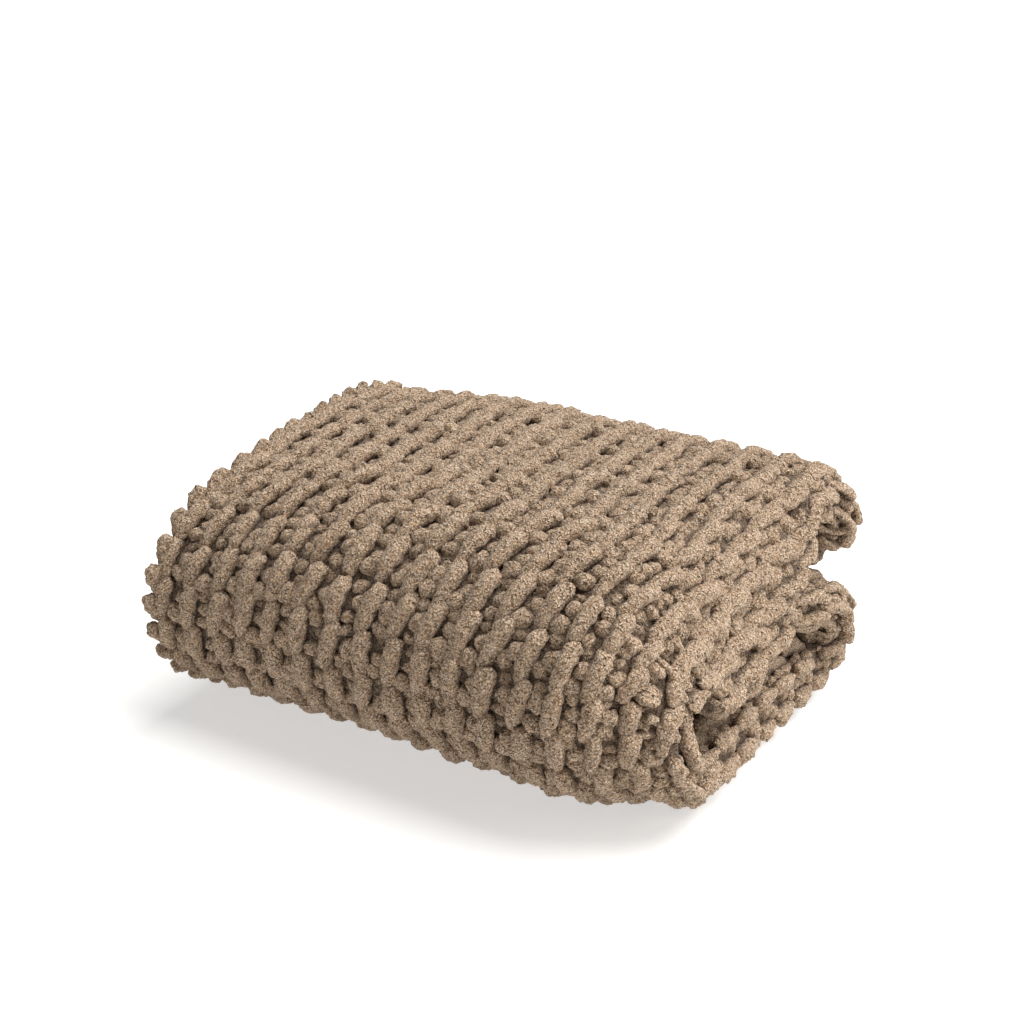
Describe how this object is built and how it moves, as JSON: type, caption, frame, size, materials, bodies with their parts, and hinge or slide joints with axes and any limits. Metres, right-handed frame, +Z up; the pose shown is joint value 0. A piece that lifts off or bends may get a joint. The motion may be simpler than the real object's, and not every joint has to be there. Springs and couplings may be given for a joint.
{
  "type": "folded chunky knit blanket",
  "caption": "Folded throw of thick ribbed chenille knit, doubled and gate-folded into a soft stack with a fat front roll.",
  "frame": {"origin": "middle of the folded pile's footprint, on the surface it rests on", "axes": "+X along the fold roll, towards the doubled-over end; +Y from the front roll to the two back lobes; +Z up through the layers"},
  "size_m": [0.6, 0.472, 0.2657],
  "materials": {
    "chenille_knit": "deep matt velvet pile on thick soft yarn, warm taupe"
  },
  "bodies": {
    "root": {"blanket": "chenille_knit"}
  },
  "joints": []
}
